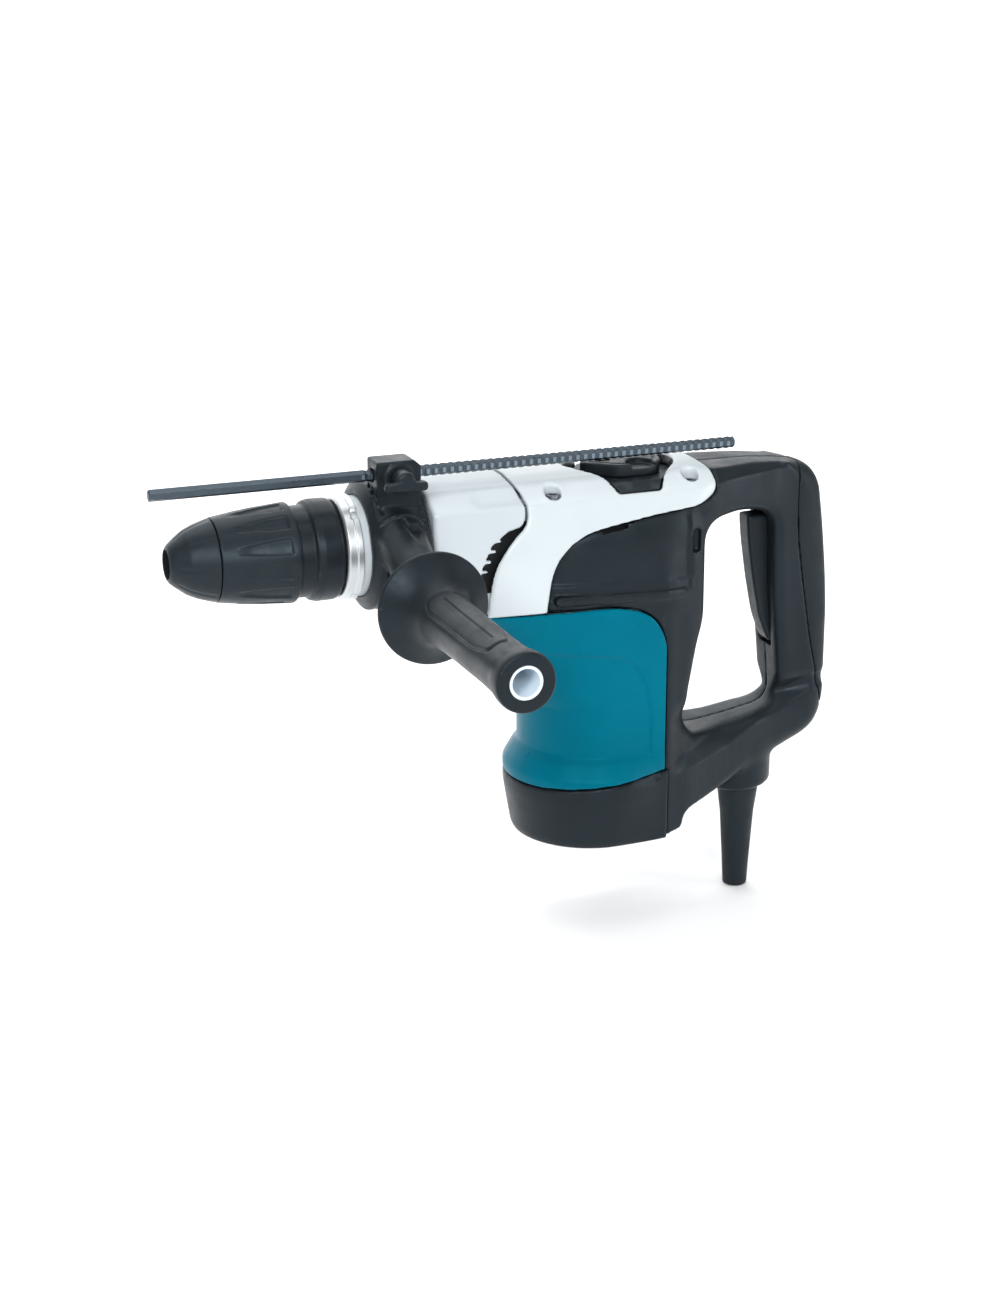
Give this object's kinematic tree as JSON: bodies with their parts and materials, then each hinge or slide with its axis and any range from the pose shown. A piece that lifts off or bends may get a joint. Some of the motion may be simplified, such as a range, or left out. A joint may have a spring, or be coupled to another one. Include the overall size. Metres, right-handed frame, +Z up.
{
  "type": "rotary hammer",
  "caption": "Corded rotary hammer with an upright motor, closed rear handle with trigger, spring-loaded chuck sleeve, mode lever, swivelling side handle and a sliding depth rod.",
  "frame": {"origin": "middle of the bit opening at the front face of the nose cap, on the barrel axis", "axes": "+X back along the barrel towards the rear handle, +Z up, away from the motor; the side handle points to -Y"},
  "size_m": [0.4843, 0.3247, 0.342],
  "materials": {
    "black_plastic": "satin, lightly grained",
    "chuck_plastic": "satin",
    "soft_grip": "matt, soft",
    "guard_rubber": "matt",
    "teal_plastic": "satin, finely grained",
    "cover_paint": "satin",
    "housing_cast": "painted casting, satin",
    "bright_ring": "machined",
    "gear_steel": "ground",
    "hardened_steel": "oiled, dark",
    "bolt_steel": "zinc plated",
    "core_iron": "laminated, varnished",
    "copper": "enamelled wire and bars",
    "brush_brass": "stamped",
    "carbon": "pressed carbon",
    "lever_grey": "satin",
    "button_dark": "semi-gloss",
    "fan_plastic": "moulded",
    "liner_plastic": "pale",
    "seal_rubber": "matt"
  },
  "bodies": {
    "housing": {"gear_housing": "housing_cast", "barrel_ring": "bright_ring", "crank_cap": "housing_cast", "housing_cover": "cover_paint", "cover_screws": "hardened_steel", "handle_left": "black_plastic", "handle_right": "black_plastic", "handle_screws": "bolt_steel", "grip_pad": "soft_grip", "motor_housing": "teal_plastic", "bottom_cover": "black_plastic", "motor_bracket": "housing_cast", "base_screws": "bolt_steel", "field_core": "core_iron", "field_windings": "copper", "brush_holders": "brush_brass", "carbon_brushes": "carbon", "lever_plate": "black_plastic", "trigger_pivot": "gear_steel", "trigger_switch": "fan_plastic", "cord_guard": "guard_rubber", "cord_clamp": "fan_plastic", "oil_seal": "seal_rubber", "spindle_bearing": "gear_steel", "crank_bearing": "gear_steel", "upper_motor_bearing": "gear_steel", "lower_motor_bearing": "gear_steel"},
    "spindle": {"tool_holder": "hardened_steel", "spindle_cylinder": "gear_steel", "bevel_ring_gear": "gear_steel", "nose_cap": "chuck_plastic", "chuck_ring": "black_plastic", "locking_rollers": "hardened_steel", "chuck_spring": "hardened_steel"},
    "sleeve": {"chuck_sleeve": "chuck_plastic"},
    "impact_bolt": {"impact_bolt": "hardened_steel"},
    "striker": {"striker": "hardened_steel"},
    "piston": {"piston": "housing_cast", "piston_pin": "gear_steel"},
    "connecting_rod": {"connecting_rod": "gear_steel", "crank_pin": "gear_steel"},
    "crank": {"crankshaft": "gear_steel", "crank_gear": "gear_steel"},
    "intermediate": {"intermediate_gear": "gear_steel", "bevel_pinion_shaft": "gear_steel"},
    "armature": {"armature_shaft": "gear_steel", "motor_pinion": "gear_steel", "armature_core": "core_iron", "armature_windings": "copper", "commutator": "copper", "cooling_fan": "fan_plastic"},
    "mode_lever": {"mode_lever": "lever_grey"},
    "lock_button": {"lock_button": "button_dark"},
    "trigger": {"trigger": "lever_grey"},
    "side_handle": {"side_handle_base": "black_plastic", "clamp_bolt": "bolt_steel"},
    "side_grip": {"side_grip": "black_plastic", "grip_liner": "liner_plastic"},
    "depth_rod": {"depth_rod": "lever_grey"},
    "wing_screw": {"wing_screw": "chuck_plastic"}
  },
  "joints": [
    {"name": "spindle_spin", "type": "hinge", "parent": "housing", "child": "spindle", "pos_m": [0.05, 0, 0], "axis": [1, 0, 0], "continuous": true},
    {"name": "sleeve_slide", "type": "slide", "parent": "spindle", "child": "sleeve", "axis": [1, 0, 0], "range_m": [0, 0.008], "stiffness_N_per_m": 1500, "springref_m": -0.008, "deforming": ["chuck_spring"]},
    {"name": "impact_bolt_slide", "type": "slide", "parent": "spindle", "child": "impact_bolt", "axis": [1, 0, 0], "range_m": [0, 0.005]},
    {"name": "striker_slide", "type": "slide", "parent": "spindle", "child": "striker", "axis": [1, 0, 0], "range_m": [-0.012, 0.009]},
    {"name": "piston_slide", "type": "slide", "parent": "housing", "child": "piston", "axis": [1, 0, 0], "range_m": [0, 0.026]},
    {"name": "connecting_rod_swing", "type": "hinge", "parent": "piston", "child": "connecting_rod", "pos_m": [0.1965, 0, 0], "axis": [0, 0, 1], "range_deg": [-15, 15]},
    {"name": "crank_spin", "type": "hinge", "parent": "housing", "child": "crank", "pos_m": [0.2595, 0, 0], "axis": [0, 0, 1], "continuous": true},
    {"name": "intermediate_spin", "type": "hinge", "parent": "housing", "child": "intermediate", "pos_m": [0.2095, 0, 0], "axis": [0, 0, 1], "continuous": true},
    {"name": "armature_spin", "type": "hinge", "parent": "housing", "child": "armature", "pos_m": [0.292, 0, 0], "axis": [0, 0, 1], "continuous": true},
    {"name": "mode_lever_turn", "type": "hinge", "parent": "housing", "child": "mode_lever", "pos_m": [0.318, 0, 0.038], "axis": [0, 0, 1], "range_deg": [-90, 0]},
    {"name": "lock_button_press", "type": "slide", "parent": "mode_lever", "child": "lock_button", "axis": [0, 0, -1], "range_m": [0, 0.0015], "stiffness_N_per_m": 400, "springref_m": -0.002},
    {"name": "trigger_pull", "type": "hinge", "parent": "housing", "child": "trigger", "pos_m": [0.431, 0, -0.095], "axis": [0, 1, 0], "range_deg": [0, 6], "stiffness_Nm_per_rad": 3, "springref_deg": -8.59},
    {"name": "side_handle_swing", "type": "hinge", "parent": "housing", "child": "side_handle", "pos_m": [0.145, 0, 0], "axis": [1, 0, 0], "range_deg": [-45, 60]},
    {"name": "side_grip_turn", "type": "hinge", "parent": "side_handle", "child": "side_grip", "pos_m": [0.1398, -0.115, -0.0126], "axis": [0, 1, 0], "continuous": true},
    {"name": "depth_rod_slide", "type": "slide", "parent": "side_handle", "child": "depth_rod", "axis": [1, 0, 0], "range_m": [-0.15, 0.06]},
    {"name": "wing_screw_turn", "type": "hinge", "parent": "side_handle", "child": "wing_screw", "pos_m": [0.147, -0.03, 0.0505], "axis": [0, 1, 0], "continuous": true}
  ],
  "couplings": [
    {"joint": "intermediate_spin", "follows": "spindle_spin", "ratio": -4.6667},
    {"joint": "crank_spin", "follows": "spindle_spin", "ratio": 3.6667},
    {"joint": "armature_spin", "follows": "spindle_spin", "ratio": -22.815}
  ]
}
